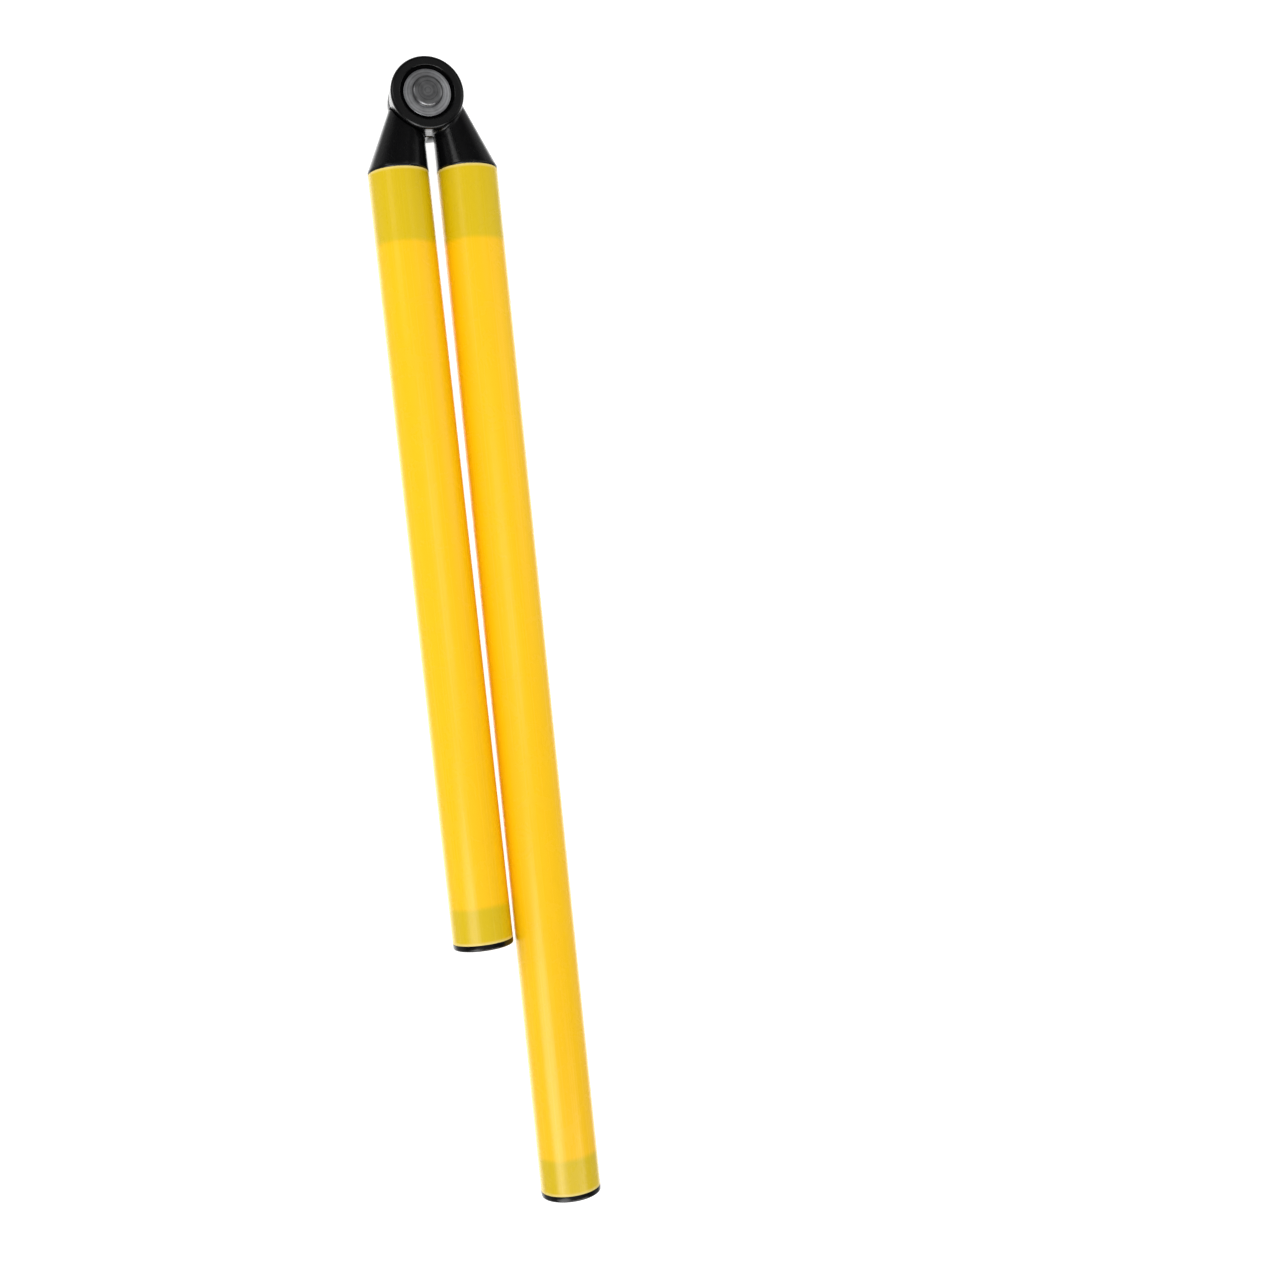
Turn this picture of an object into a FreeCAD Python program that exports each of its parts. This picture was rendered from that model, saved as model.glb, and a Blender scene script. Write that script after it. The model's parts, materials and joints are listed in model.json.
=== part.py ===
import FreeCAD, Part
import os

import Sketcher

# Folding alignment stick: two plastic tubes joined by a riveted hinge.
# Frame: the stick lies folded on its side. The hinge axis is Z, and the origin is where it meets the outer
# face of the rear hinge disc. Both legs run towards -Y from the hinge, the long one at +X and the short one
# at -X.
# Every piece is drawn in its leg's own frame: hinge axis on Z, middle of the stick's thickness at z = 0, and
# the leg along -Y at +X. The short leg uses the same shapes, turned over about Y.

doc = FreeCAD.newDocument("alignment_stick")
sheet = doc.addObject("Spreadsheet::Sheet", "Sizes")

sizes = [
    ("tube_outer_diameter", 25.0, "standard metric plastic tube"),
    ("tube_wall", 1.5, ""),
    ("tube_end_chamfer", 0.25, "broken edge on the cut ends"),
    ("long_tube_length", 425.0, ""),
    ("short_tube_length", 317.0, ""),
    ("tube_start", 29.9, "hinge axis to the cut end of a tube, along the leg"),
    ("leg_offset", 14.3, "hinge axis to tube axis; a straight stick has both tubes in line"),
    ("disc_diameter", 29.8, ""),
    ("hinge_thickness", 21.0, "over both discs"),
    ("disc_gap", 0.3, "between the inner faces of the discs"),
    ("disc_rim_radius", 1.5, "rounded outer rim"),
    ("disc_inner_chamfer", 0.4, ""),
    ("disc_clearance", 0.4, "round the other leg's disc"),
    ("counterbore_diameter", 21.8, ""),
    ("counterbore_depth", 2.0, ""),
    ("counterbore_edge_radius", 0.6, ""),
    ("pivot_diameter", 6.0, "rivet shank"),
    ("pivot_clearance", 0.05, "radial running fit of the shank"),
    ("neck_base_length", 1.0, "straight collar next to the tube"),
    ("neck_tip_distance", 0.5, "hinge axis to the small end of the neck, along the leg"),
    ("neck_tip_offset", 7.9, ""),
    ("neck_tip_diameter", 12.2, ""),
    ("neck_root_radius", 1.0, "blend of the neck into its disc"),
    ("room_edge_radius", 0.4, "edge of the hollow that clears the other disc"),
    ("plug_clearance", 0.12, "radial, between the ribs"),
    ("rib_clearance", 0.01, "radial, over the ribs"),
    ("rib_width", 1.6, ""),
    ("rib_count", 8, ""),
    ("plug_wall", 2.4, ""),
    ("plug_chamfer", 0.8, "lead-in"),
    ("knuckle_plug_length", 30.0, ""),
    ("knuckle_core_depth", 27.0, ""),
    ("cap_plug_length", 15.0, ""),
    ("cap_core_depth", 14.0, ""),
    ("cap_flange_thickness", 2.5, ""),
    ("cap_rim_radius", 0.9, ""),
    ("washer_diameter", 19.2, ""),
    ("washer_thickness", 1.2, ""),
    ("washer_edge_radius", 0.25, ""),
    ("washer_play", 0.05, "axial gap at each sliding face"),
    ("friction_washer_diameter", 16.0, ""),
    ("friction_washer_thickness", 1.0, ""),
    ("recess_diameter", 16.6, "seat of the friction washer in each disc"),
    ("rivet_head_diameter", 12.6, ""),
    ("rivet_head_height", 2.6, ""),
    ("rivet_head_radius", 1.4, ""),
    ("rivet_tail_diameter", 10.4, ""),
    ("rivet_tail_height", 1.8, ""),
    ("rivet_tail_radius", 1.2, ""),
    ("rivet_hollow_diameter", 3.6, ""),
    ("rivet_hollow_depth", 4.0, ""),
    ("stop_radius", 10.9, "middle of the stop lug and its groove"),
    ("lug_width", 2.4, "across the groove"),
    ("lug_height", 1.3, "above the disc's inner face"),
    ("lug_angle", 14.0, ""),
    ("lug_direction", -45.0, "degrees from +X"),
    ("groove_play", 0.3, "beside and under the lug"),
    ("stop_play", 0.3, "degrees left at each end of the travel"),
    ("rest_fold", 0.43, "degrees the short leg leans towards the long one when folded"),
    ("straight_angle", 180.0, "between the folded and the straight stick, legs parallel"),
]
for row, (alias, size, note) in enumerate(sizes, start=1):
    sheet.set(f"A{row}", alias)
    sheet.set(f"B{row}", str(size))
    sheet.set(f"C{row}", note)
    sheet.setAlias(f"B{row}", alias)
doc.recompute()

same = 0.001
unset_radius = 5

half_gap = "Sizes.disc_gap / 2"
half_hinge = "Sizes.hinge_thickness / 2"
tube_bore = "(Sizes.tube_outer_diameter - 2 * Sizes.tube_wall)"
plug_diameter = f"({tube_bore} - 2 * Sizes.plug_clearance)"
core_diameter = f"({plug_diameter} - 2 * Sizes.plug_wall)"
pivot_bore = "(Sizes.pivot_diameter + 2 * Sizes.pivot_clearance)"
washer_top = f"({half_hinge} - Sizes.counterbore_depth + Sizes.washer_play + Sizes.washer_thickness)"


def new_body(label):
    body = doc.addObject("PartDesign::Body", label)
    body.Label = label
    return body


def attach(body, name, role, offsets=(), turn=None):
    """A sketch on one of the body's origin planes, moved by expressions along its own axes."""
    sketch = body.newObject("Sketcher::SketchObject", name)
    plane = [feature for feature in body.Origin.OriginFeatures if feature.Role == role][0]
    sketch.AttachmentSupport = [(plane, "")]
    sketch.MapMode = "FlatFace"
    if turn:
        sketch.AttachmentOffset = FreeCAD.Placement(FreeCAD.Vector(), FreeCAD.Vector(0, 1, 0), 1)
        sketch.setExpression(".AttachmentOffset.Rotation.Angle", turn)
    for axis, expression in offsets:
        sketch.setExpression(f".AttachmentOffset.Base.{axis}", expression)
    return sketch


def across_leg(body, name, distance):
    """A sketch square to the tube, centred on its axis, at a distance from the hinge axis."""
    return attach(body, name, "XZ_Plane", [("x", "Sizes.leg_offset"), ("z", distance)])


def level(body, name, height):
    """A sketch square to the hinge axis."""
    return attach(body, name, "XY_Plane", [("z", height)])


def circle(sketch, diameter):
    number = sketch.addGeometry(Part.Circle(FreeCAD.Vector(), FreeCAD.Vector(0, 0, 1), unset_radius))
    sketch.addConstraint(Sketcher.Constraint("Coincident", number, 3, -1, 1))
    limit = sketch.addConstraint(Sketcher.Constraint("Diameter", number, 2 * unset_radius))
    sketch.setExpression(f"Constraints[{limit}]", diameter)


def outline(sketch, corners):
    """A closed outline of straight lines. Each corner is a pair of expressions, and "0" lies on the axis."""
    points = [[sheet.evalExpression(part) for part in corner] for corner in corners]
    points = [FreeCAD.Vector(float(x), float(y), 0) for x, y in points]
    count = len(points)
    for number in range(count):
        sketch.addGeometry(Part.LineSegment(points[number], points[(number + 1) % count]))
    for number in range(count):
        sketch.addConstraint(Sketcher.Constraint("Coincident", number, 2, (number + 1) % count, 1))
        for kind, axis_line, expression in zip(("DistanceX", "DistanceY"), (-2, -1), corners[number]):
            if expression == "0":
                sketch.addConstraint(Sketcher.Constraint("PointOnObject", number, 1, axis_line))
            else:
                place = getattr(points[number], kind[-1].lower())
                limit = sketch.addConstraint(Sketcher.Constraint(kind, -1, 1, number, 1, place))
                sketch.setExpression(f"Constraints[{limit}]", expression)


def prism(body, kind, name, sketch, length, backwards=False):
    """A Pad or Pocket. A Pad grows along the sketch's normal, and a Pocket cuts against it."""
    feature = body.newObject(f"PartDesign::{kind}", name)
    feature.Profile = sketch
    feature.setExpression("Length", length)
    feature.Reversed = backwards
    doc.recompute()
    return feature


def turned(body, kind, name, sketch, angle="360"):
    """A Revolution or Groove about the sketch's vertical axis, half the angle to each side."""
    feature = body.newObject(f"PartDesign::{kind}", name)
    feature.Profile = sketch
    feature.ReferenceAxis = (sketch, ["V_Axis"])
    feature.Midplane = True
    feature.setExpression("Angle", angle)
    doc.recompute()
    return feature


def round_edges(shape, diameter, place, axis):
    """Names of the full circles of a diameter whose centre lies at a place along an axis."""
    names = []
    for number, edge in enumerate(shape.Edges, start=1):
        if not isinstance(edge.Curve, Part.Circle):
            continue
        same_size = abs(2 * edge.Curve.Radius - diameter) < same
        if same_size and abs(getattr(edge.Curve.Center, axis) - place) < same:
            names.append(f"Edge{number}")
    return names


def meeting_edges(shape, diameter):
    """Names of the edges where the neck's drawn surface meets a cylinder of a diameter."""
    names = []
    for number, edge in enumerate(shape.Edges, start=1):
        surfaces = [face.Surface for face in shape.ancestorsOfType(edge, Part.Face)]
        cylinders = [surface for surface in surfaces if isinstance(surface, Part.Cylinder)]
        meets_cylinder = any(abs(2 * cylinder.Radius - diameter) < same for cylinder in cylinders)
        meets_neck = any(isinstance(surface, Part.BSplineSurface) for surface in surfaces)
        if meets_cylinder and meets_neck:
            names.append(f"Edge{number}")
    return names


def amount(expression):
    return float(sheet.evalExpression(expression))


def dress(body, kind, name, size, edge_names):
    """A Fillet or Chamfer on named edges of the body so far."""
    base = body.Tip
    feature = body.newObject(f"PartDesign::{kind}", name)
    feature.Base = (base, edge_names)
    feature.setExpression("Radius" if kind == "Fillet" else "Size", size)
    doc.recompute()


def soften(body, kind, name, size, rims, axis):
    """A Fillet or Chamfer on circular rims, each given as (diameter, place) expressions."""
    names = []
    for diameter, place in rims:
        names += round_edges(body.Tip.Shape, amount(diameter), amount(place), axis)
    dress(body, kind, name, size, names)


def lay_long(body):
    """Place a piece of the long leg."""
    body.setExpression(".Placement.Base.z", half_hinge)


def lay_short(body):
    """Place a piece of the short leg: turned over about Y, then swung to its folded rest."""
    swing = "rotation(vector(0; 0; 1); Sizes.rest_fold)"
    turn_over = "rotation(vector(0; 1; 0); 180)"
    body.setExpression("Placement", f"placement(vector(0; 0; {half_hinge}); {swing} * {turn_over})")


def make_tube(label, length):
    body = new_body(label)
    ring = across_leg(body, f"{label}_ring", "Sizes.tube_start")
    circle(ring, "Sizes.tube_outer_diameter")
    circle(ring, tube_bore)
    prism(body, "Pad", f"{label}_wall", ring, length)
    rims = [
        ("Sizes.tube_outer_diameter", "-Sizes.tube_start"),
        ("Sizes.tube_outer_diameter", f"-Sizes.tube_start - {length}"),
    ]
    soften(body, "Chamfer", f"{label}_ends", "Sizes.tube_end_chamfer", rims, "y")
    return body


def add_plug(body, label, start, length, core_depth, backwards):
    """The ribbed, cored plug that is pushed into a tube."""
    section = across_leg(body, f"{label}_plug_section", start)
    circle(section, plug_diameter)
    prism(body, "Pad", f"{label}_plug", section, length, backwards)
    end = f"{start} - {length}" if backwards else f"{start} + {length}"
    soften(body, "Chamfer", f"{label}_plug_lead", "Sizes.plug_chamfer", [(plug_diameter, f"-({end})")], "y")

    rib_section = across_leg(body, f"{label}_rib_section", start)
    half_width = "Sizes.rib_width / 2"
    inner = f"{plug_diameter} / 2 - Sizes.plug_wall / 2"
    outer = f"{tube_bore} / 2 - Sizes.rib_clearance"
    outline(rib_section, [
        (inner, f"-{half_width}"),
        (outer, f"-{half_width}"),
        (outer, half_width),
        (inner, half_width),
    ])
    rib = prism(body, "Pad", f"{label}_rib", rib_section, f"{length} - 2 * Sizes.plug_chamfer", backwards)
    ribs = body.newObject("PartDesign::PolarPattern", f"{label}_ribs")
    ribs.Originals = [rib]
    ribs.Axis = (rib_section, ["N_Axis"])
    ribs.Angle = 360
    ribs.setExpression("Occurrences", "Sizes.rib_count")
    body.Tip = ribs
    doc.recompute()

    core_section = across_leg(body, f"{label}_core_section", end)
    circle(core_section, core_diameter)
    prism(body, "Pocket", f"{label}_core", core_section, core_depth, backwards)


def ring_sector(body, kind, name, direction, sweep, width, low, high):
    """A block or a groove bent round the hinge axis, on the stop radius."""
    section = attach(body, f"{name}_section", "XZ_Plane", turn=direction)
    inner = f"Sizes.stop_radius - ({width}) / 2"
    outer = f"Sizes.stop_radius + ({width}) / 2"
    outline(section, [(inner, low), (outer, low), (outer, high), (inner, high)])
    turned(body, kind, name, section, sweep)


def make_knuckle(label):
    body = new_body(label)

    disc_section = level(body, f"{label}_disc_section", half_gap)
    circle(disc_section, "Sizes.disc_diameter")
    prism(body, "Pad", f"{label}_disc", disc_section, f"{half_hinge} - {half_gap}")
    soften(body, "Fillet", f"{label}_rim", "Sizes.disc_rim_radius",
           [("Sizes.disc_diameter", half_hinge)], "z")
    soften(body, "Chamfer", f"{label}_inner_rim", "Sizes.disc_inner_chamfer",
           [("Sizes.disc_diameter", half_gap)], "z")

    neck_base = "Sizes.tube_start - Sizes.neck_base_length"
    base_section = across_leg(body, f"{label}_neck_base", neck_base)
    circle(base_section, "Sizes.tube_outer_diameter")
    tip_section = attach(body, f"{label}_neck_tip", "XZ_Plane",
                         [("x", "Sizes.neck_tip_offset"), ("z", "Sizes.neck_tip_distance")])
    circle(tip_section, "Sizes.neck_tip_diameter")
    neck = body.newObject("PartDesign::AdditiveLoft", f"{label}_neck")
    neck.Profile = base_section
    neck.Sections = [tip_section]
    neck.Ruled = True
    doc.recompute()

    root_edges = meeting_edges(neck.Shape, amount("Sizes.disc_diameter"))
    dress(body, "Fillet", f"{label}_neck_root", "Sizes.neck_root_radius", root_edges)

    collar_section = across_leg(body, f"{label}_collar_section", neck_base)
    circle(collar_section, "Sizes.tube_outer_diameter")
    prism(body, "Pad", f"{label}_collar", collar_section, "Sizes.neck_base_length")

    room_section = level(body, f"{label}_room_section", half_gap)
    room_diameter = "Sizes.disc_diameter + 2 * Sizes.disc_clearance"
    circle(room_section, room_diameter)
    prism(body, "Pocket", f"{label}_room", room_section, "Sizes.tube_outer_diameter")
    room_edges = meeting_edges(body.Tip.Shape, amount(room_diameter))
    dress(body, "Fillet", f"{label}_room_edge", "Sizes.room_edge_radius", room_edges)

    bore_section = level(body, f"{label}_bore_section", half_hinge)
    circle(bore_section, pivot_bore)
    prism(body, "Pocket", f"{label}_bore", bore_section, "Sizes.hinge_thickness")
    seat_section = level(body, f"{label}_seat_section", half_hinge)
    circle(seat_section, "Sizes.counterbore_diameter")
    prism(body, "Pocket", f"{label}_seat", seat_section, "Sizes.counterbore_depth")
    soften(body, "Fillet", f"{label}_seat_edge", "Sizes.counterbore_edge_radius",
           [("Sizes.counterbore_diameter", half_hinge)], "z")
    recess_section = level(body, f"{label}_recess_section", half_gap)
    circle(recess_section, "Sizes.recess_diameter")
    recess_depth = "Sizes.friction_washer_thickness / 2 + Sizes.washer_play - Sizes.disc_gap / 2"
    prism(body, "Pocket", f"{label}_recess", recess_section, recess_depth, backwards=True)

    travel = "(Sizes.straight_angle + Sizes.rest_fold)"
    ring_sector(body, "Groove", f"{label}_stop_groove", f"{travel} / 2 - Sizes.lug_direction",
                f"{travel} + Sizes.lug_angle + 2 * Sizes.stop_play",
                "Sizes.lug_width + 2 * Sizes.groove_play",
                "0", "Sizes.lug_height + Sizes.groove_play")
    ring_sector(body, "Revolution", f"{label}_stop_lug", "Sizes.lug_direction", "Sizes.lug_angle",
                "Sizes.lug_width", f"{half_gap} - Sizes.lug_height", "Sizes.disc_gap")

    add_plug(body, label, "Sizes.tube_start", "Sizes.knuckle_plug_length", "Sizes.knuckle_core_depth", False)
    return body


def make_cap(label, tube_length):
    body = new_body(label)
    tube_end = f"Sizes.tube_start + {tube_length}"
    flange_section = across_leg(body, f"{label}_flange_section", tube_end)
    circle(flange_section, "Sizes.tube_outer_diameter")
    prism(body, "Pad", f"{label}_flange", flange_section, "Sizes.cap_flange_thickness")
    flange_face = f"-({tube_end} + Sizes.cap_flange_thickness)"
    soften(body, "Fillet", f"{label}_rim", "Sizes.cap_rim_radius",
           [("Sizes.tube_outer_diameter", flange_face)], "y")
    add_plug(body, label, tube_end, "Sizes.cap_plug_length", "Sizes.cap_core_depth", True)
    return body


def make_washer(label, bottom, diameter, thickness, edge_radius=None):
    body = new_body(label)
    ring = level(body, f"{label}_ring", bottom)
    circle(ring, diameter)
    circle(ring, pivot_bore)
    prism(body, "Pad", f"{label}_disc", ring, thickness)
    if edge_radius:
        rims = [(diameter, bottom), (diameter, f"{bottom} + {thickness}")]
        soften(body, "Fillet", f"{label}_edges", edge_radius, rims, "z")
    return body


def make_rivet(label):
    """Solid head at the front, shank, and a tail rolled over the rear washer round its hollow end."""
    body = new_body(label)
    head_top = f"{washer_top} + Sizes.rivet_head_height"
    tail_end = f"-{washer_top} - Sizes.rivet_tail_height"
    shank = "Sizes.pivot_diameter / 2"
    hollow = "Sizes.rivet_hollow_diameter / 2"
    section = attach(body, f"{label}_section", "XZ_Plane")
    outline(section, [
        ("0", head_top),
        ("Sizes.rivet_head_diameter / 2", head_top),
        ("Sizes.rivet_head_diameter / 2", washer_top),
        (shank, washer_top),
        (shank, f"-{washer_top}"),
        ("Sizes.rivet_tail_diameter / 2", f"-{washer_top}"),
        ("Sizes.rivet_tail_diameter / 2", tail_end),
        (hollow, tail_end),
        (hollow, f"{tail_end} + Sizes.rivet_hollow_depth"),
        ("0", f"{tail_end} + Sizes.rivet_hollow_depth"),
    ])
    turned(body, "Revolution", f"{label}_turned", section)
    soften(body, "Fillet", f"{label}_head_edge", "Sizes.rivet_head_radius",
           [("Sizes.rivet_head_diameter", head_top)], "z")
    soften(body, "Fillet", f"{label}_tail_edge", "Sizes.rivet_tail_radius",
           [("Sizes.rivet_tail_diameter", tail_end)], "z")
    return body


steel_washer = ("Sizes.washer_diameter", "Sizes.washer_thickness", "Sizes.washer_edge_radius")
front_seat = f"{half_hinge} - Sizes.counterbore_depth + Sizes.washer_play"
friction_bottom = "-Sizes.friction_washer_thickness / 2"

long_leg = [
    make_tube("long_tube", "Sizes.long_tube_length"),
    make_knuckle("front_knuckle"),
    make_cap("long_end_cap", "Sizes.long_tube_length"),
    make_washer("front_washer", front_seat, *steel_washer),
    make_washer("rear_washer", f"-{washer_top}", *steel_washer),
    make_washer("friction_washer", friction_bottom,
                "Sizes.friction_washer_diameter", "Sizes.friction_washer_thickness"),
    make_rivet("pivot_rivet"),
]
short_leg = [
    make_tube("short_tube", "Sizes.short_tube_length"),
    make_knuckle("rear_knuckle"),
    make_cap("short_end_cap", "Sizes.short_tube_length"),
]
for piece in long_leg:
    lay_long(piece)
for piece in short_leg:
    lay_short(piece)
doc.recompute()

for thing in doc.Objects:
    if "Invalid" in thing.State or "Error" in thing.State:
        raise RuntimeError(f"{thing.Label} failed: {thing.State}")
for piece in long_leg + short_leg:
    if piece.Shape.isNull() or not piece.Shape.isValid() or len(piece.Shape.Solids) != 1:
        raise RuntimeError(f"{piece.Label} is not one valid solid")

os.makedirs("parts", exist_ok=True)
for piece in long_leg + short_leg:
    piece.Shape.exportStep(f"parts/{piece.Label}.step")
    box = piece.Shape.BoundBox
    print(f"{piece.Label}: {piece.Shape.Volume / 1000:.2f} cm3, x {box.XMin:.2f} to {box.XMax:.2f}, "
          f"y {box.YMin:.2f} to {box.YMax:.2f}, z {box.ZMin:.2f} to {box.ZMax:.2f}")
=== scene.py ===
import json
import math

import bmesh
import bpy
from mathutils import Matrix, Vector


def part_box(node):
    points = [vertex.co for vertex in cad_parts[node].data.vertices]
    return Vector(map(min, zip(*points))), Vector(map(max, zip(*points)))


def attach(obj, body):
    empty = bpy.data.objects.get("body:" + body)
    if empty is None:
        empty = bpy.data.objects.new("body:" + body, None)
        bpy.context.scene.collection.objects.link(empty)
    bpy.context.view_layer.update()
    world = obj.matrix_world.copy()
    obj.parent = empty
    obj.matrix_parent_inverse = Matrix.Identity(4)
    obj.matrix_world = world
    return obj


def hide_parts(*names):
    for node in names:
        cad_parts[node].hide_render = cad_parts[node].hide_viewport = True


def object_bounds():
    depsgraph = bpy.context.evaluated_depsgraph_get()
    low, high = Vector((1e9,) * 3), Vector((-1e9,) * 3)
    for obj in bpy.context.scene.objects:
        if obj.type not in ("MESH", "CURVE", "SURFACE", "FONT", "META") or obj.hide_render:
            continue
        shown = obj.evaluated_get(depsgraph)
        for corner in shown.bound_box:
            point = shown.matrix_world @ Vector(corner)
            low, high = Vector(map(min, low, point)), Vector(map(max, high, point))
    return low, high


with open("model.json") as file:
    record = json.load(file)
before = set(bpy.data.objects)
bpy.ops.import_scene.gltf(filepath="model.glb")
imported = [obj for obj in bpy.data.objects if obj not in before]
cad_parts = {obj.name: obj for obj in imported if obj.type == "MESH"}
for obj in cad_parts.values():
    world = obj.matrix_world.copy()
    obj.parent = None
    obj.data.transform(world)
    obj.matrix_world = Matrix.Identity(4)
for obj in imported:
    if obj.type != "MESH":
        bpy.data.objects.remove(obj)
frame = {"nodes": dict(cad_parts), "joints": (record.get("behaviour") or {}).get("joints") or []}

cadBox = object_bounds()
print("frame loaded:", ", ".join(sorted(frame["nodes"])))

# Turned pieces are drawn in millimetres in their own leg's place: hinge axis on Z, the middle of the
# thickness at z = 0, and the leg along -Y at +X. The short leg is the long one turned over and swung to its
# folded rest. The knuckles are copies of the CAD's own.
millimetre = 0.001
joint = frame["joints"][0]
hinge = Vector(joint["pos_m"])
straight = 180.0          # degrees, legs parallel
lean = math.radians(joint["range_deg"][1] - straight)
legs = {
    "long": {"body": "long_leg", "turn": (0.0, 0.0, 0.0)},
    "short": {"body": "short_leg", "turn": (0.0, math.pi, lean)},
}
longTubeLow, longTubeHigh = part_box("long_tube")
tubeRadius = (longTubeHigh.x - longTubeLow.x) / 2 / millimetre
legOffset = (longTubeHigh.x + longTubeLow.x) / 2 / millimetre
tubeStart = -longTubeHigh.y / millimetre


# A solid of revolution about Z from an outline of (radius, height). An outline that starts on the axis also
# ends on it, and any other one is closed into a ring.
def turnOutline(outline, steps):
    mesh = bmesh.new()
    corners = [mesh.verts.new((radius, 0, height)) for radius, height in outline]
    for first, second in zip(corners, corners[1:]):
        mesh.edges.new((first, second))
    if outline[0][0] > 0:
        mesh.edges.new((corners[-1], corners[0]))
    wire = mesh.verts[:] + mesh.edges[:]
    bmesh.ops.spin(mesh, geom=wire, cent=(0, 0, 0), axis=(0, 0, 1), angle=math.tau, steps=steps,
                   use_merge=True, use_duplicate=False)
    bmesh.ops.remove_doubles(mesh, verts=mesh.verts[:], dist=mergeDistance)
    bmesh.ops.recalc_face_normals(mesh, faces=mesh.faces[:])
    return mesh


near = 0.01               # millimetres, corners this close to a circle are on it
mergeDistance = 0.0005


# The edges of one full circle of a turned shape.
def circleEdges(mesh, radius, height):
    def onCircle(vert):
        return abs(vert.co.xy.length - radius) < near and abs(vert.co.z - height) < near
    return [edge for edge in mesh.edges if all(onCircle(vert) for vert in edge.verts)]


def roundCircle(mesh, radius, height, size, segments):
    bmesh.ops.bevel(mesh, geom=circleEdges(mesh, radius, height), offset=size, offset_type="OFFSET",
                    affect="EDGES", segments=segments, profile=0.5, material=-1, clamp_overlap=True)


# Pulls every few columns of a turned plug outwards, as ribs that centre it in the bore.
def raiseRibs(mesh, plug, low, high, steps):
    pitch = steps // plug["ribs"]
    columnAngle = math.tau / steps
    chosen = []
    for face in mesh.faces:
        middle = face.calc_center_median()
        flatSide = abs(face.normal.z) < 0.1 and face.normal.xy.dot(middle.xy) > 0
        if not flatSide or abs(middle.xy.length - plug["radius"]) > 0.1 or not low < middle.z < high:
            continue
        column = int((math.atan2(middle.y, middle.x) % math.tau) / columnAngle)
        if column % pitch < plug["ribColumns"]:
            chosen.append(face)
    grown = bmesh.ops.extrude_face_region(mesh, geom=chosen)["geom"]
    outwards = (plug["radius"] + plug["ribHeight"]) / plug["radius"]
    ribVerts = [item for item in grown if isinstance(item, bmesh.types.BMVert)]
    bmesh.ops.scale(mesh, vec=(outwards, outwards, 1), verts=ribVerts)
    bmesh.ops.delete(mesh, geom=chosen, context="FACES_ONLY")


# From a shape drawn about Z, height being the distance from the hinge, to its place on the leg.
alongLeg = Matrix.Translation((legOffset, 0, 0)) @ Matrix.Rotation(math.radians(90), 4, "X")
aboutHinge = Matrix.Identity(4)


def legPlace(leg):
    across, over, swing = legs[leg]["turn"]
    turn = Matrix.Rotation(swing, 4, "Z") @ Matrix.Rotation(over, 4, "Y") @ Matrix.Rotation(across, 4, "X")
    return Matrix.Translation(hinge) @ turn @ Matrix.Scale(millimetre, 4)


def finishPiece(mesh, name, node, leg, material, place=None, smoothAngle=35):
    if place is not None:
        mesh.transform(legPlace(leg) @ place)
    data = bpy.data.meshes.new(name)
    mesh.to_mesh(data)
    mesh.free()
    data.materials.append(material)
    data.shade_smooth()
    data.set_sharp_from_angle(angle=math.radians(smoothAngle))
    piece = bpy.data.objects.new(name, data)
    bpy.context.scene.collection.objects.link(piece)
    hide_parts(node)
    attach(piece, legs[leg]["body"])
    print("piece made:", name, len(data.vertices), "corners")


def addNode(tree, kind, inputs=None, **settings):
    made = tree.nodes.new(kind)
    for key, setting in settings.items():
        setattr(made, key, setting)
    for key, given in (inputs or {}).items():
        if isinstance(given, bpy.types.NodeSocket):
            tree.links.new(given, made.inputs[key])
        else:
            made.inputs[key].default_value = given
    return made


def mathNode(tree, operation, *givens):
    return addNode(tree, "ShaderNodeMath", dict(enumerate(givens)), operation=operation).outputs[0]


# A smooth step from 0 to 1 as a value goes from low to high.
def smoothStep(tree, given, low, high):
    inputs = {"Value": given, "From Min": low, "From Max": high}
    return addNode(tree, "ShaderNodeMapRange", inputs, interpolation_type="SMOOTHSTEP").outputs[0]


# Inputs 0, 6 and 7 are the share and the two colours, and output 2 is the mixed colour.
def mixColour(tree, share, first, second):
    return addNode(tree, "ShaderNodeMix", {0: share, 6: first, 7: second}, data_type="RGBA").outputs[2]


def newGroup(name, takes, gives):
    group = bpy.data.node_groups.new(name, "ShaderNodeTree")
    for label, kind, start in takes:
        socket = group.interface.new_socket(label, in_out="INPUT", socket_type=kind)
        if start is not None:
            socket.default_value = start
    for label, kind in gives:
        group.interface.new_socket(label, in_out="OUTPUT", socket_type=kind)
    return group, group.nodes.new("NodeGroupInput").outputs, group.nodes.new("NodeGroupOutput").inputs


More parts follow.
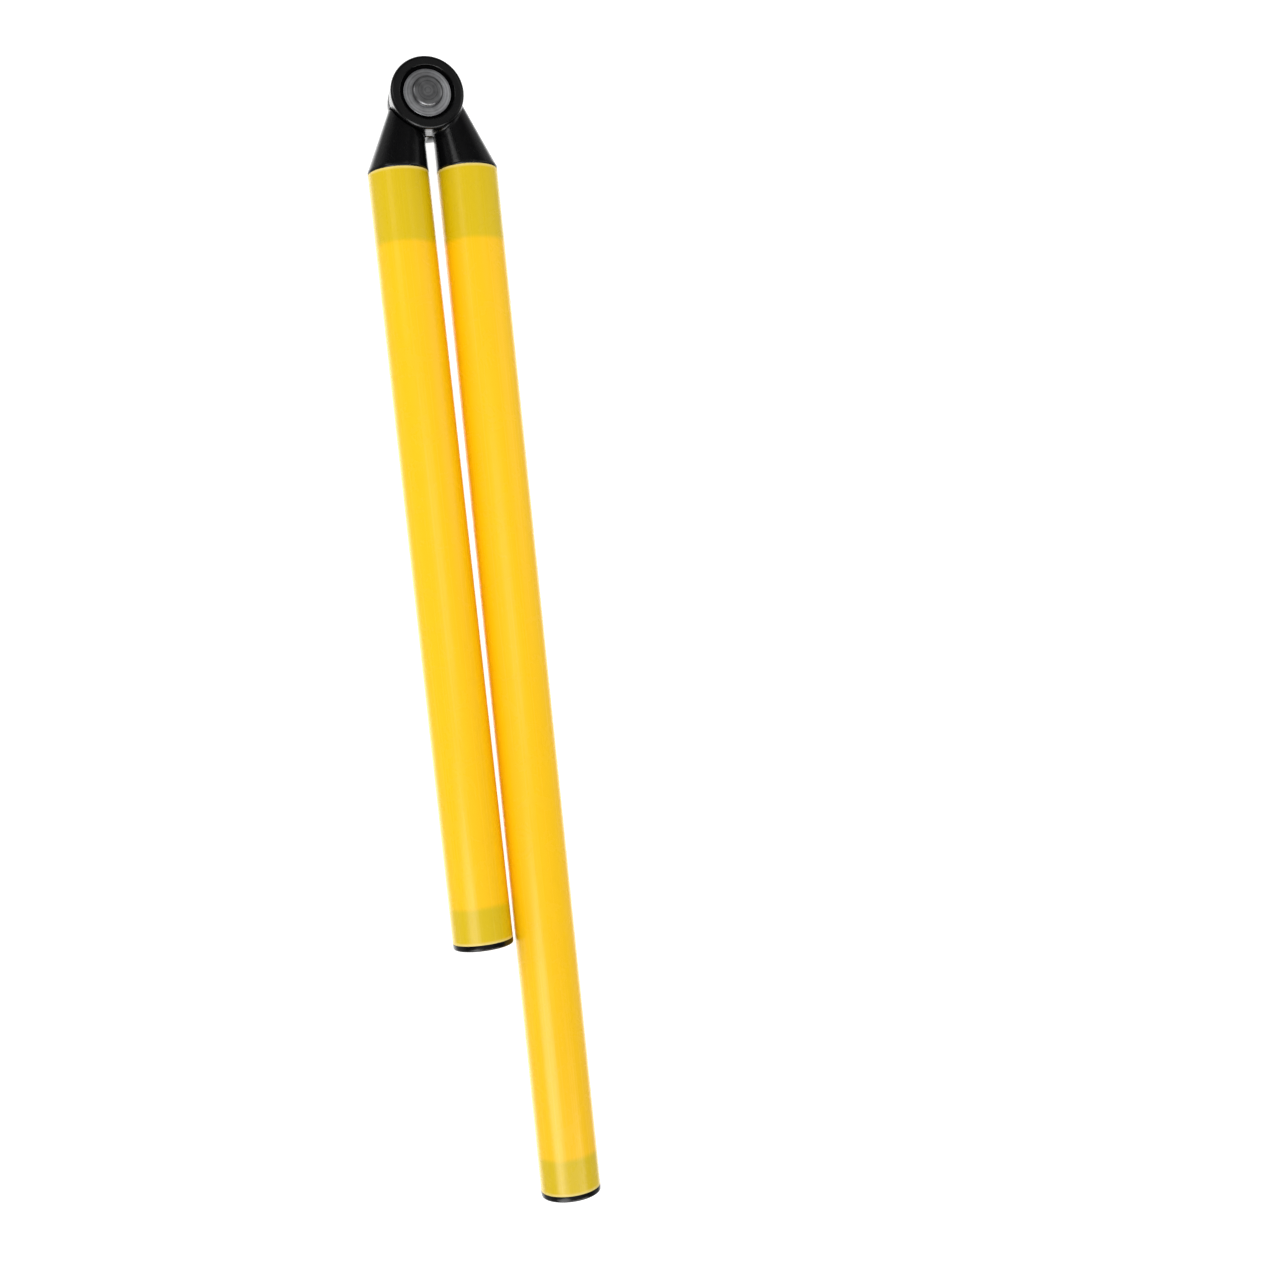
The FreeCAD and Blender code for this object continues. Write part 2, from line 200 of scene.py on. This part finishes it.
# Soft unevenness of a finish: cloudy tone, fine grain and the handling marks that dull a gloss.
def makeSurfaceGroup():
    group, takes, gives = newGroup(
        "surfaceUnevenness",
        [("Place", "NodeSocketVector", None), ("Grain Size", "NodeSocketFloat", 0.3),
         ("Cloud Size", "NodeSocketFloat", 12.0)],
        [("Grain", "NodeSocketFloat"), ("Cloud", "NodeSocketFloat"), ("Smudge", "NodeSocketFloat")])
    grainScale = mathNode(group, "DIVIDE", 1.0, takes["Grain Size"])
    grain = addNode(group, "ShaderNodeTexNoise",
                    {"Vector": takes["Place"], "Scale": grainScale, "Detail": 3.0, "Roughness": 0.6})
    cloudScale = mathNode(group, "DIVIDE", 1.0, takes["Cloud Size"])
    cloud = addNode(group, "ShaderNodeTexNoise",
                    {"Vector": takes["Place"], "Scale": cloudScale, "Detail": 4.0, "Roughness": 0.55})
    smudgeScale = mathNode(group, "MULTIPLY", cloudScale, 2.7)
    smudge = addNode(group, "ShaderNodeTexNoise",
                     {"Vector": takes["Place"], "Scale": smudgeScale, "Detail": 6.0, "Roughness": 0.65,
                      "Distortion": 0.8})
    group.links.new(grain.outputs["Fac"], gives["Grain"])
    group.links.new(cloud.outputs["Fac"], gives["Cloud"])
    group.links.new(smoothStep(group, smudge.outputs["Fac"], 0.52, 0.72), gives["Smudge"])
    return group


# Where a corner is, from how far the rounded normal leans away from the true one.
def makeEdgeGroup():
    group, takes, gives = newGroup(
        "edgeWear",
        [("Place", "NodeSocketVector", None), ("Width", "NodeSocketFloat", 0.0003),
         ("Breakup Size", "NodeSocketFloat", 1.5)],
        [("Edge", "NodeSocketFloat")])
    rounded = addNode(group, "ShaderNodeBevel", {"Radius": takes["Width"]}, samples=6)
    true = addNode(group, "ShaderNodeNewGeometry")
    match = addNode(group, "ShaderNodeVectorMath", {0: rounded.outputs[0], 1: true.outputs["Normal"]},
                    operation="DOT_PRODUCT")
    corner = smoothStep(group, mathNode(group, "SUBTRACT", 1.0, match.outputs["Value"]), 0.01, 0.16)
    breakupScale = mathNode(group, "DIVIDE", 1.0, takes["Breakup Size"])
    breakup = addNode(group, "ShaderNodeTexNoise",
                      {"Vector": takes["Place"], "Scale": breakupScale, "Detail": 5.0, "Roughness": 0.7})
    patchy = smoothStep(group, breakup.outputs["Fac"], 0.35, 0.65)
    group.links.new(mathNode(group, "MULTIPLY", corner, patchy), gives["Edge"])
    return group


# Fine rings about the hinge axis, as a tool or a die leaves on flat metal.
def makeTurningGroup():
    group, takes, gives = newGroup(
        "turningMarks",
        [("Place", "NodeSocketVector", None), ("Ring Width", "NodeSocketFloat", 0.25)],
        [("Rings", "NodeSocketFloat"), ("Bands", "NodeSocketFloat")])
    flat = addNode(group, "ShaderNodeVectorMath", {0: takes["Place"], 1: (1.0, 1.0, 0.0)},
                   operation="MULTIPLY")
    radius = addNode(group, "ShaderNodeVectorMath", {0: flat.outputs[0]}, operation="LENGTH").outputs["Value"]
    ringScale = mathNode(group, "DIVIDE", 1.0, takes["Ring Width"])
    rings = addNode(group, "ShaderNodeTexNoise",
                    {"W": mathNode(group, "MULTIPLY", radius, ringScale), "Scale": 1.0, "Detail": 2.0,
                     "Roughness": 0.6}, noise_dimensions="1D")
    bands = addNode(group, "ShaderNodeTexNoise",
                    {"W": radius, "Scale": 0.9, "Detail": 1.0, "Roughness": 0.5}, noise_dimensions="1D")
    group.links.new(rings.outputs["Fac"], gives["Rings"])
    group.links.new(bands.outputs["Fac"], gives["Bands"])
    return group


surfaceGroup = makeSurfaceGroup()
edgeGroup = makeEdgeGroup()
turningGroup = makeTurningGroup()


# A material with its shader, and Object coordinates turned into the leg's own millimetres.
def newMaterial(name, leg, shader):
    material = bpy.data.materials.new(name)
    material.use_nodes = True
    tree = material.node_tree
    principled = tree.nodes["Principled BSDF"]
    for key, setting in shader.items():
        principled.inputs[key].default_value = setting
    coordinates = addNode(tree, "ShaderNodeTexCoord")
    place = addNode(tree, "ShaderNodeMapping",
                    {"Vector": coordinates.outputs["Object"], "Location": hinge,
                     "Rotation": legs[leg]["turn"], "Scale": (millimetre,) * 3}, vector_type="TEXTURE")
    return material, tree, principled, place.outputs[0]


def addGroup(tree, group, inputs):
    return addNode(tree, "ShaderNodeGroup", inputs, node_tree=group).outputs


def bump(tree, principled, height, distance):
    made = addNode(tree, "ShaderNodeBump",
                   {"Height": height, "Distance": distance * millimetre, "Strength": 1.0})
    tree.links.new(made.outputs[0], principled.inputs["Normal"])


tubes = {
    "wall": 1.5,
    "longLength": 425.0,
    "shortLength": 317.0,
    "cutEdge": 0.25,
    "steps": 160,
}
yellow = {
    "colour": (0.980, 0.580, 0.003, 1),
    "deeper": (0.975, 0.555, 0.002, 1),     # thin cloudy variation of the pigment
    "overPlug": (0.720, 0.505, 0.003, 1),   # the dark plug shows through the wall
    "cut": (0.830, 0.650, 0.180, 1),        # pale, freshly cut rim
    # pale, freshly cut rim, with a painted highlight of the cut edge catching light
    "cutWidth": 1.5,
    "cloudSize": 26.0,
    "grainSize": 0.35,
    "roughness": 0.24,
    "smudgeDulls": 0.05,
    "lineDulls": 0.06,
    "cutDulls": 0.2,
    "ior": 1.40,
    "hingePlug": 30.0,
    "capPlug": 15.0,
    "bandBlur": 1.6,
    "dieLine": 0.004,                       # depth of the lines drawn by the extrusion die
    "lineScale": 1.1,
    "lineStretch": 0.004,
    "grainShare": 0.25,
}


def makeTube(name, node, leg, length):
    mesh = turnOutline([
        (tubeRadius - tubes["wall"], tubeStart),
        (tubeRadius, tubeStart),
        (tubeRadius, tubeStart + length),
        (tubeRadius - tubes["wall"], tubeStart + length),
    ], tubes["steps"])
    for end in (tubeStart, tubeStart + length):
        roundCircle(mesh, tubeRadius, end, tubes["cutEdge"], 3)
    material = makeYellow(f"{name}Plastic", leg, length)
    finishPiece(mesh, name, node, leg, material, alongLeg)


def makeYellow(name, leg, length):
    material, tree, principled, place = newMaterial(name, leg, {"IOR": yellow["ior"]})
    parts = addNode(tree, "ShaderNodeSeparateXYZ", {0: place}).outputs
    along = mathNode(tree, "MULTIPLY", parts["Y"], -1.0)

    surface = addGroup(tree, surfaceGroup, {"Place": place, "Grain Size": yellow["grainSize"],
                                            "Cloud Size": yellow["cloudSize"]})
    colour = mixColour(tree, surface["Cloud"], yellow["colour"], yellow["deeper"])

    blur = yellow["bandBlur"]
    hingeEnd = tubeStart + yellow["hingePlug"]
    capEnd = tubeStart + length - yellow["capPlug"]
    beforeHingeEnd = smoothStep(tree, along, hingeEnd + blur, hingeEnd - blur)
    afterCapEnd = smoothStep(tree, along, capEnd - blur, capEnd + blur)
    band = mathNode(tree, "MAXIMUM", beforeHingeEnd, afterCapEnd)
    colour = mixColour(tree, band, colour, yellow["overPlug"])

    # the pale band at each cut end is partly stress-whitened plastic and partly a painted highlight where the
    # cut edge catches light; the same mask dulls the gloss there
    rim = tubes["cutEdge"]
    pale = yellow["cutWidth"]
    fromHinge = smoothStep(tree, along, tubeStart + pale, tubeStart + rim)
    fromCap = smoothStep(tree, along, tubeStart + length - pale, tubeStart + length - rim)
    cut = mathNode(tree, "MAXIMUM", fromHinge, fromCap)
    colour = mixColour(tree, cut, colour, yellow["cut"])
    tree.links.new(colour, principled.inputs["Base Color"])

    # lines drawn by the extrusion die: fine across the tube and endless along it
    stretched = addNode(tree, "ShaderNodeMapping",
                        {"Vector": place, "Location": (-legOffset, 0.0, 0.0),
                         "Scale": (1.0, yellow["lineStretch"], 1.0)})
    dieLines = addNode(tree, "ShaderNodeTexNoise",
                       {"Vector": stretched.outputs[0], "Scale": yellow["lineScale"], "Detail": 4.0,
                        "Roughness": 0.6})
    dull = mathNode(tree, "MULTIPLY_ADD", surface["Smudge"], yellow["smudgeDulls"], yellow["roughness"])
    lined = mathNode(tree, "MULTIPLY_ADD", dieLines.outputs["Fac"], yellow["lineDulls"], dull)
    rough = mathNode(tree, "MULTIPLY_ADD", cut, yellow["cutDulls"], lined)
    tree.links.new(rough, principled.inputs["Roughness"])
    height = mathNode(tree, "MULTIPLY_ADD", surface["Grain"], yellow["grainShare"], dieLines.outputs["Fac"])
    bump(tree, principled, height, yellow["dieLine"])
    return material


makeTube("longTube", "long_tube", "long", tubes["longLength"])
makeTube("shortTube", "short_tube", "short", tubes["shortLength"])

black = {
    "colour": (0.0014, 0.0014, 0.0016, 1),
    "cloudy": (0.0026, 0.0026, 0.0029, 1),
    "worn": (0.016, 0.016, 0.017, 1),
    "wornShare": 0.5,
    "wornWidth": 0.00025,    # metres
    "wornBreakup": 0.9,
    "roughness": 0.20,
    "smudgeDulls": 0.09,
    "cloudDulls": 0.06,
    "wearDulls": 0.1,
    "cloudSize": 7.0,
    "grainSize": 0.22,
    "grain": 0.0015,
    "ior": 1.45,
}


def makeBlack(name, leg):
    material, tree, principled, place = newMaterial(name, leg, {"IOR": black["ior"]})
    surface = addGroup(tree, surfaceGroup, {"Place": place, "Grain Size": black["grainSize"],
                                            "Cloud Size": black["cloudSize"]})
    wear = addGroup(tree, edgeGroup, {"Place": place, "Width": black["wornWidth"],
                                      "Breakup Size": black["wornBreakup"]})["Edge"]
    tone = mixColour(tree, surface["Cloud"], black["colour"], black["cloudy"])
    tone = mixColour(tree, mathNode(tree, "MULTIPLY", wear, black["wornShare"]), tone, black["worn"])
    tree.links.new(tone, principled.inputs["Base Color"])
    dull = mathNode(tree, "MULTIPLY_ADD", surface["Smudge"], black["smudgeDulls"], black["roughness"])
    grainy = mathNode(tree, "MULTIPLY_ADD", surface["Cloud"], black["cloudDulls"], dull)
    rough = mathNode(tree, "MULTIPLY_ADD", wear, black["wearDulls"], grainy)
    tree.links.new(rough, principled.inputs["Roughness"])
    bump(tree, principled, surface["Grain"], black["grain"])
    return material


blackLong = makeBlack("blackPlasticLong", "long")
blackShort = makeBlack("blackPlasticShort", "short")

knuckles = {
    "merge": 0.00001,      # metres, joins the loose triangles
    "smoothAngle": 28,
}


def makeKnuckle(name, node, leg, material):
    mesh = bmesh.new()
    mesh.from_mesh(frame["nodes"][node].data)
    bmesh.ops.remove_doubles(mesh, verts=mesh.verts[:], dist=knuckles["merge"])
    bmesh.ops.dissolve_degenerate(mesh, edges=mesh.edges[:], dist=knuckles["merge"])
    finishPiece(mesh, name, node, leg, material, smoothAngle=knuckles["smoothAngle"])


makeKnuckle("frontKnuckle", "front_knuckle", "long", blackLong)
makeKnuckle("rearKnuckle", "rear_knuckle", "short", blackShort)

endCaps = {
    "flange": 2.5,
    "rimRadius": 0.9,
    "undersideEdge": 0.12,
    "plugLength": 15.0,
    "coreDepth": 14.0,
    "plugWall": 2.4,
    "lead": 0.8,
    "radius": 10.88,
    "ribs": 8,
    "ribColumns": 3,
    "ribHeight": 0.11,
    "steps": 128,
}


def makeCap(name, node, leg, tubeLength, material):
    end = tubeStart + tubeLength
    top = end + endCaps["flange"]
    inner = end - endCaps["plugLength"]
    core = endCaps["radius"] - endCaps["plugWall"]
    mesh = turnOutline([
        (0.0, top),
        (tubeRadius, top),
        (tubeRadius, end),
        (endCaps["radius"], end),
        (endCaps["radius"], inner + endCaps["lead"]),
        (endCaps["radius"] - endCaps["lead"], inner),
        (core, inner),
        (core, inner + endCaps["coreDepth"]),
        (0.0, inner + endCaps["coreDepth"]),
    ], endCaps["steps"])
    raiseRibs(mesh, endCaps, inner + endCaps["lead"], end, endCaps["steps"])
    roundCircle(mesh, tubeRadius, top, endCaps["rimRadius"], 6)
    roundCircle(mesh, tubeRadius, end, endCaps["undersideEdge"], 2)
    finishPiece(mesh, name, node, leg, material, alongLeg)


makeCap("longEndCap", "long_end_cap", "long", tubes["longLength"], blackLong)
makeCap("shortEndCap", "short_end_cap", "short", tubes["shortLength"], blackShort)

washers = {
    "radius": 9.6,
    "bore": 3.05,
    "thickness": 1.2,
    "edge": 0.25,
    "coinedTo": 8.0,      # the rim is pressed a little lower than the middle
    "coinedDepth": 0.08,
    "coinedSlope": 0.25,
    "steps": 160,
}
rivet = {
    "headRadius": 6.3,
    "headHeight": 2.6,
    "headEdge": 1.4,
    "underEdge": 0.2,
    "shank": 3.0,
    "tailRadius": 5.2,
    "tailHeight": 1.8,
    "tailEdge": 1.2,
    "hollowRadius": 1.8,
    "hollowDepth": 4.0,
    "hollowEdge": 0.5,
    "steps": 128,
}
frictionWasher = {
    "radius": 8.0,
    "bore": 3.05,
    "thickness": 1.0,
    "edge": 0.1,
    "coinedTo": 7.4,
    "coinedDepth": 0.02,
    "coinedSlope": 0.25,
    "steps": 96,
}
steel = {
    "washer": (0.660, 0.666, 0.684, 1),
    "washerDark": (0.360, 0.362, 0.372, 1),
    "washerRoughness": 0.32,
    "washerRings": 0.28,     # width of a turning mark
    "rivet": (0.370, 0.372, 0.380, 1),
    "rivetDark": (0.150, 0.150, 0.154, 1),
    "rivetRoughness": 0.28,
    "rivetRings": 0.5,
    "worn": (0.75, 0.75, 0.76, 1),
    "wornShare": 0.4,
    "wornWidth": 0.0002,     # metres
    "wornBreakup": 0.6,
    "bandShare": 0.6,
    "cloudShare": 0.4,
    "cloudSize": 3.0,
    "grainSize": 0.12,
    "grainShare": 0.3,
    "smudgeDulls": 0.1,
    "ringDulls": 0.1,
    "markDepth": 0.012,
}
nylonLook = {
    "colour": (0.80, 0.78, 0.71, 1),
    "cloudy": (0.72, 0.70, 0.62, 1),
    "roughness": 0.42,
    "rings": 0.4,
    "ringDulls": 0.12,
    "cloudSize": 4.0,
    "grainSize": 0.2,
    "grain": 0.004,
    "shader": {"IOR": 1.53, "Subsurface Weight": 0.1},
}


def makeSteel(name, light, dark, roughness, ringWidth):
    material, tree, principled, place = newMaterial(name, "long", {"Metallic": 1.0})
    surface = addGroup(tree, surfaceGroup, {"Place": place, "Grain Size": steel["grainSize"],
                                            "Cloud Size": steel["cloudSize"]})
    turning = addGroup(tree, turningGroup, {"Place": place, "Ring Width": ringWidth})
    wear = addGroup(tree, edgeGroup, {"Place": place, "Width": steel["wornWidth"],
                                      "Breakup Size": steel["wornBreakup"]})["Edge"]
    cloudy = mathNode(tree, "MULTIPLY", surface["Cloud"], steel["cloudShare"])
    shade = mathNode(tree, "MULTIPLY_ADD", turning["Bands"], steel["bandShare"], cloudy)
    tone = mixColour(tree, smoothStep(tree, shade, 0.32, 0.68), dark, light)
    tone = mixColour(tree, mathNode(tree, "MULTIPLY", wear, steel["wornShare"]), tone, steel["worn"])
    tree.links.new(tone, principled.inputs["Base Color"])
    dull = mathNode(tree, "MULTIPLY_ADD", surface["Smudge"], steel["smudgeDulls"], roughness)
    ringed = mathNode(tree, "MULTIPLY_ADD", turning["Rings"], steel["ringDulls"], dull)
    tree.links.new(ringed, principled.inputs["Roughness"])
    height = mathNode(tree, "MULTIPLY_ADD", surface["Grain"], steel["grainShare"], turning["Rings"])
    bump(tree, principled, height, steel["markDepth"])
    return material


def makeNylon(name):
    material, tree, principled, place = newMaterial(name, "long", nylonLook["shader"])
    surface = addGroup(tree, surfaceGroup, {"Place": place, "Grain Size": nylonLook["grainSize"],
                                            "Cloud Size": nylonLook["cloudSize"]})
    turning = addGroup(tree, turningGroup, {"Place": place, "Ring Width": nylonLook["rings"]})
    tone = mixColour(tree, surface["Cloud"], nylonLook["colour"], nylonLook["cloudy"])
    tree.links.new(tone, principled.inputs["Base Color"])
    ringed = mathNode(tree, "MULTIPLY_ADD", turning["Rings"], nylonLook["ringDulls"],
                      nylonLook["roughness"])
    tree.links.new(ringed, principled.inputs["Roughness"])
    bump(tree, principled, surface["Grain"], nylonLook["grain"])
    return material


washerSteel = makeSteel("washerSteel", steel["washer"], steel["washerDark"], steel["washerRoughness"],
                        steel["washerRings"])
rivetSteel = makeSteel("rivetSteel", steel["rivet"], steel["rivetDark"], steel["rivetRoughness"],
                       steel["rivetRings"])
nylon = makeNylon("nylonWasher")


def makeWasher(name, node, sizes, material):
    bottom = (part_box(node)[0].z - hinge.z) / millimetre
    top = bottom + sizes["thickness"]
    coined = sizes["coinedTo"]
    depth = sizes["coinedDepth"]
    slope = sizes["coinedSlope"]
    mesh = turnOutline([
        (sizes["bore"], bottom),
        (coined, bottom),
        (coined + slope, bottom + depth),
        (sizes["radius"], bottom + depth),
        (sizes["radius"], top - depth),
        (coined + slope, top - depth),
        (coined, top),
        (sizes["bore"], top),
    ], sizes["steps"])
    for height in (bottom + depth, top - depth):
        roundCircle(mesh, sizes["radius"], height, sizes["edge"], 4)
    finishPiece(mesh, name, node, "long", material, aboutHinge)


def makeRivet(name, node):
    low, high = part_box(node)
    headTop = (high.z - hinge.z) / millimetre
    tailEnd = (low.z - hinge.z) / millimetre
    underHead = headTop - rivet["headHeight"]
    overTail = tailEnd + rivet["tailHeight"]
    mesh = turnOutline([
        (0.0, headTop),
        (rivet["headRadius"], headTop),
        (rivet["headRadius"], underHead),
        (rivet["shank"], underHead),
        (rivet["shank"], overTail),
        (rivet["tailRadius"], overTail),
        (rivet["tailRadius"], tailEnd),
        (rivet["hollowRadius"], tailEnd),
        (rivet["hollowRadius"], tailEnd + rivet["hollowDepth"]),
        (0.0, tailEnd + rivet["hollowDepth"]),
    ], rivet["steps"])
    roundCircle(mesh, rivet["headRadius"], headTop, rivet["headEdge"], 8)
    roundCircle(mesh, rivet["headRadius"], underHead, rivet["underEdge"], 3)
    roundCircle(mesh, rivet["tailRadius"], tailEnd, rivet["tailEdge"], 8)
    roundCircle(mesh, rivet["hollowRadius"], tailEnd, rivet["hollowEdge"], 5)
    finishPiece(mesh, name, node, "long", rivetSteel, aboutHinge)


makeWasher("frontWasher", "front_washer", washers, washerSteel)
makeWasher("rearWasher", "rear_washer", washers, washerSteel)
makeWasher("frictionWasher", "friction_washer", frictionWasher, nylon)
makeRivet("pivotRivet", "pivot_rivet")

studio = {
    "floorSize": 12.0,
    "floorColour": (0.36, 0.36, 0.36, 1),
    "floorRoughness": 0.8,
    "floorGlow": 0.92,
    "softLight": 0.70,       # what falls on matt surfaces, the same from all round
    "roomZenith": 0.27,      # what a glossy surface mirrors straight above
    "roomMiddle": 0.05,
    "roomHorizon": 0.28,
    "mirrorGlow": 1.7,       # the floor right under the object, in its glossy sides
    "mirrorFade": (0.15, 0.50),
    "zenithFrom": (0.70, 0.92),
    "horizonFrom": (0.40, 0.0),
}
lamps = {
    "overheadFill": {"place": (-0.17, -0.16, 0.75), "aim": (-0.02, -0.18, 0.0),
                     "width": 0.40, "length": 0.40, "radiance": 4.9, "matt": True, "gloss": False},
    "leftFill": {"place": (-0.75, -0.20, 0.38), "aim": (0.0, -0.20, 0.0),
                 "width": 0.50, "length": 0.90, "radiance": 0.35, "matt": True, "gloss": False},
    "lowerLeftBox": {"place": (-0.50, -0.80, 0.62), "aim": (0.0, -0.42, 0.0),
                     "width": 0.42, "length": 0.66, "radiance": 4.0, "matt": False, "gloss": True},
    "upperLeftBox": {"place": (-0.50, 0.26, 0.50), "aim": (0.0, 0.0, 0.0),
                     "width": 0.26, "length": 0.24, "radiance": 2.2, "matt": False, "gloss": True},
    "bottomBox": {"place": (0.05, -1.05, 0.50), "aim": (0.0, -0.05, 0.0),
                  "width": 1.50, "length": 0.40, "radiance": 4.2, "matt": False, "gloss": True},
    "upperRightBox": {"place": (0.34, 0.30, 0.68), "aim": (0.0, 0.0, 0.0),
                      "width": 0.16, "length": 0.18, "radiance": 1.2, "matt": False, "gloss": True},
    "rightBox": {"place": (0.75, 0.06, 0.42), "aim": (0.0, -0.10, 0.0),
                 "width": 0.50, "length": 0.55, "radiance": 0.9, "matt": False, "gloss": True},
}
cameraSettings = {
    "place": (-0.0834, -0.2182, 0.6739),
    "aim": (0.0680, -0.2310, 0.0105),
    "top": (0.1018, 0.9948, 0.0040),
    "lens": 45.06,
    "sensor": 36,
    "near": 0.01,
    "far": 100,
}


def makeFloor():
    mesh = bmesh.new()
    bmesh.ops.create_grid(mesh, x_segments=1, y_segments=1, size=studio["floorSize"] / 2)
    bmesh.ops.translate(mesh, vec=(0, 0, cadBox[0].z), verts=mesh.verts[:])
    data = bpy.data.meshes.new("floor")
    mesh.to_mesh(data)
    mesh.free()
    floor = bpy.data.objects.new("floor", data)
    bpy.context.scene.collection.objects.link(floor)
    material = bpy.data.materials.new("paleFloor")
    material.use_nodes = True
    tree = material.node_tree
    shader = tree.nodes["Principled BSDF"]
    shader.inputs["Base Color"].default_value = studio["floorColour"]
    shader.inputs["Roughness"].default_value = studio["floorRoughness"]
    shader.inputs["Emission Color"].default_value = (1, 1, 1, 1)
    # a glossy side mirrors the lit floor under it, and not the floor far away
    farOff = smoothStep(tree, addNode(tree, "ShaderNodeLayerWeight").outputs["Facing"], *studio["mirrorFade"])
    mirrored = addNode(tree, "ShaderNodeLightPath").outputs["Is Glossy Ray"]
    shaded = mathNode(tree, "MULTIPLY", mirrored, farOff)
    rise = studio["mirrorGlow"] - studio["floorGlow"]
    lit = mathNode(tree, "MULTIPLY_ADD", mirrored, rise, studio["floorGlow"])
    glow = mathNode(tree, "MULTIPLY_ADD", shaded, -studio["mirrorGlow"], lit)
    tree.links.new(glow, shader.inputs["Emission Strength"])
    data.materials.append(material)


def makeSky():
    world = bpy.data.worlds.new("softStudio")
    bpy.context.scene.world = world
    world.use_nodes = True
    tree = world.node_tree
    background = tree.nodes["Background"]
    direction = addNode(tree, "ShaderNodeTexCoord").outputs["Generated"]
    height = addNode(tree, "ShaderNodeSeparateXYZ", {0: direction}).outputs["Z"]
    towardsZenith = smoothStep(tree, height, *studio["zenithFrom"])
    towardsHorizon = smoothStep(tree, height, *studio["horizonFrom"])
    zenithSpan = studio["roomZenith"] - studio["roomMiddle"]
    horizonSpan = studio["roomHorizon"] - studio["roomMiddle"]
    room = mathNode(tree, "MULTIPLY_ADD", towardsZenith, zenithSpan, studio["roomMiddle"])
    room = mathNode(tree, "MULTIPLY_ADD", towardsHorizon, horizonSpan, room)
    path = addNode(tree, "ShaderNodeLightPath").outputs
    difference = mathNode(tree, "SUBTRACT", room, studio["softLight"])
    strength = mathNode(tree, "MULTIPLY_ADD", path["Is Glossy Ray"], difference, studio["softLight"])
    # seen straight on, the room is as white as the floor
    strength = mathNode(tree, "MAXIMUM", strength, path["Is Camera Ray"])
    tree.links.new(strength, background.inputs["Strength"])
    background.inputs["Color"].default_value = (1, 1, 1, 1)


def makeLamp(name, facts):
    place = Vector(facts["place"])
    data = bpy.data.lights.new(name, "AREA")
    data.shape = "RECTANGLE"
    data.size = facts["width"]
    data.size_y = facts["length"]
    data.energy = facts["radiance"] * facts["width"] * facts["length"] * math.pi
    lamp = bpy.data.objects.new(name, data)
    bpy.context.scene.collection.objects.link(lamp)
    lamp.location = place
    lamp.rotation_euler = (Vector(facts["aim"]) - place).to_track_quat("-Z", "Y").to_euler()
    lamp.visible_camera = False
    lamp.visible_diffuse = facts["matt"]
    lamp.visible_glossy = facts["gloss"]


def makeCamera():
    data = bpy.data.cameras.new("camera")
    data.lens = cameraSettings["lens"]
    data.sensor_width = cameraSettings["sensor"]
    data.clip_start = cameraSettings["near"]
    data.clip_end = cameraSettings["far"]
    camera = bpy.data.objects.new("camera", data)
    bpy.context.scene.collection.objects.link(camera)
    place = Vector(cameraSettings["place"])
    forward = (Vector(cameraSettings["aim"]) - place).normalized()
    right = forward.cross(Vector(cameraSettings["top"])).normalized()
    up = right.cross(forward)
    turn = Matrix((right, up, -forward)).transposed().to_4x4()
    camera.matrix_world = Matrix.Translation(place) @ turn
    bpy.context.scene.camera = camera


makeFloor()
makeSky()
for lampName, lampFacts in lamps.items():
    makeLamp(lampName, lampFacts)
makeCamera()
bpy.context.scene.view_settings.view_transform = "Standard"
print("studio ready")
